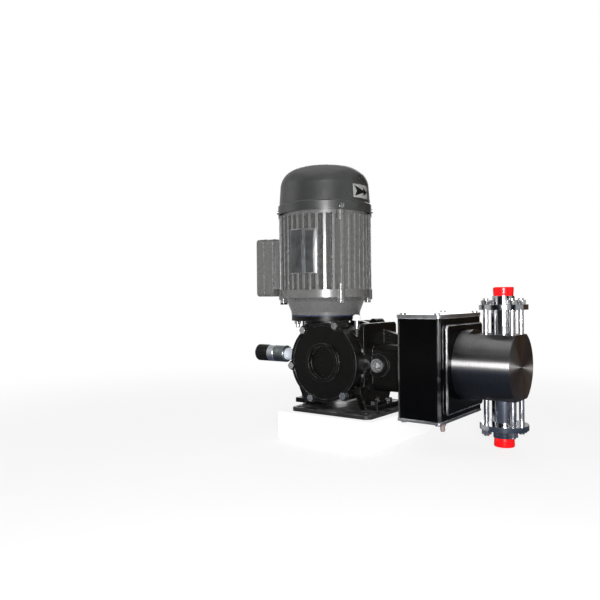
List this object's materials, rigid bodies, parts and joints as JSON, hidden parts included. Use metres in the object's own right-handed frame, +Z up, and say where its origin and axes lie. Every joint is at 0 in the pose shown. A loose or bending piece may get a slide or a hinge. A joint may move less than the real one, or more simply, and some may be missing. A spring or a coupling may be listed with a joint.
{
  "type": "piston metering pump",
  "caption": "Piston metering pump with an upright finned motor, worm gearbox, stroke knob, guard box and stainless head with ball valves.",
  "frame": {"origin": "centre of the base plate's bolt pattern, on the plate's underside", "axes": "+X along the plunger towards the pump head, +Z up along the motor's axis, near side at -Y"},
  "size_m": [0.3931, 0.1423, 0.3415],
  "materials": {
    "gearbox_black": "satin",
    "motor_grey": "satin",
    "cowl_grey": "satin",
    "box_black": "gloss",
    "box_plate_grey": "satin",
    "head_steel": "turned",
    "valve_steel": "polished",
    "stud_steel": "bright",
    "ground_steel": "ground",
    "cap_red": "gloss",
    "knob_black": "satin",
    "ring_light": "satin",
    "sleeve_grey": "satin",
    "neck_white": "satin",
    "pipe_steel": "satin",
    "sight_glass": "clear",
    "gasket_blue": "satin",
    "fan_plastic": "matt",
    "core_steel": "laminated",
    "winding_copper": "enamelled copper",
    "wheel_bronze": "machined bronze",
    "cast_grey": "machined",
    "seal_rubber": "matt",
    "nipple_brown": "satin"
  },
  "bodies": {
    "pump_frame": {"ball_bearings": "ground_steel", "base_plate": "gearbox_black", "box_bottom_plate": "box_plate_grey", "box_front_plate": "box_black", "box_screws": "stud_steel", "box_top_plate": "box_plate_grey", "breather_pipe": "pipe_steel", "breather_plug": "neck_white", "cable_gland": "knob_black", "clamp_plates": "valve_steel", "discharge_valve_body": "valve_steel", "drain_plug": "knob_black", "drip_nipple": "nipple_brown", "fan_cowl": "cowl_grey", "far_side_cover": "gearbox_black", "flange_studs": "stud_steel", "gear_housing": "gearbox_black", "guard_box": "box_black", "head_screws": "stud_steel", "housing_screws": "stud_steel", "lower_end_shield": "motor_grey", "motor_frame": "motor_grey", "motor_gasket": "gasket_blue", "motor_screws": "stud_steel", "motor_tie_bolts": "stud_steel", "near_side_cover": "gearbox_black", "oil_seals": "seal_rubber", "packing_gland": "cast_grey", "packing_rings": "seal_rubber", "port_caps": "cap_red", "pump_head": "head_steel", "return_spring": "ground_steel", "sight_glass_lens": "sight_glass", "sight_glass_ring": "pipe_steel", "stator_core": "core_steel", "stator_windings": "winding_copper", "stop_neck": "neck_white", "stroke_sleeve": "sleeve_grey", "suction_valve_body": "valve_steel", "terminal_board": "fan_plastic", "terminal_box": "motor_grey", "terminal_lid": "motor_grey", "upper_end_shield": "motor_grey", "valve_seats": "ground_steel", "valve_tie_bolts": "stud_steel"},
    "motor_rotor": {"worm_shaft": "ground_steel", "rotor_core": "core_steel", "cooling_fan": "fan_plastic"},
    "wheel_set": {"worm_wheel": "wheel_bronze", "wheel_shaft": "ground_steel", "eccentric": "ground_steel"},
    "plunger_set": {"crosshead": "cast_grey", "plunger": "valve_steel"},
    "stroke_stop": {"stop_pin": "ground_steel"},
    "stroke_setting": {"stroke_knob": "knob_black", "scale_ring": "ring_light", "stop_spindle": "ground_steel"},
    "suction_valve_ball": {"suction_ball": "ground_steel"},
    "discharge_valve_ball": {"discharge_ball": "ground_steel"}
  },
  "joints": [
    {"name": "motor_spin", "type": "hinge", "parent": "pump_frame", "child": "motor_rotor", "pos_m": [-0.0465, 0, 0.0625], "axis": [0, 0, 1], "continuous": true},
    {"name": "wheel_spin", "type": "hinge", "parent": "pump_frame", "child": "wheel_set", "pos_m": [-0.0125, 0, 0.0625], "axis": [0, 1, 0], "continuous": true},
    {"name": "stop_travel", "type": "slide", "parent": "pump_frame", "child": "stroke_stop", "axis": [1, 0, 0], "range_m": [-0.015, 0]},
    {"name": "knob_turn", "type": "hinge", "parent": "stroke_stop", "child": "stroke_setting", "pos_m": [-0.15, 0.018, 0.0625], "axis": [1, 0, 0], "range_deg": [-3600, 0]},
    {"name": "plunger_slide", "type": "slide", "parent": "pump_frame", "child": "plunger_set", "axis": [1, 0, 0], "range_m": [-0.015, 0]},
    {"name": "suction_ball_lift", "type": "slide", "parent": "pump_frame", "child": "suction_valve_ball", "axis": [0, 0, 1], "range_m": [0, 0.004]},
    {"name": "discharge_ball_lift", "type": "slide", "parent": "pump_frame", "child": "discharge_valve_ball", "axis": [0, 0, 1], "range_m": [0, 0.004]}
  ],
  "couplings": [
    {"joint": "wheel_spin", "follows": "motor_spin", "ratio": -0.041667},
    {"joint": "stop_travel", "follows": "plunger_slide", "ratio": 1},
    {"joint": "knob_turn", "follows": "plunger_slide", "rad_per_m": 4188.8}
  ]
}
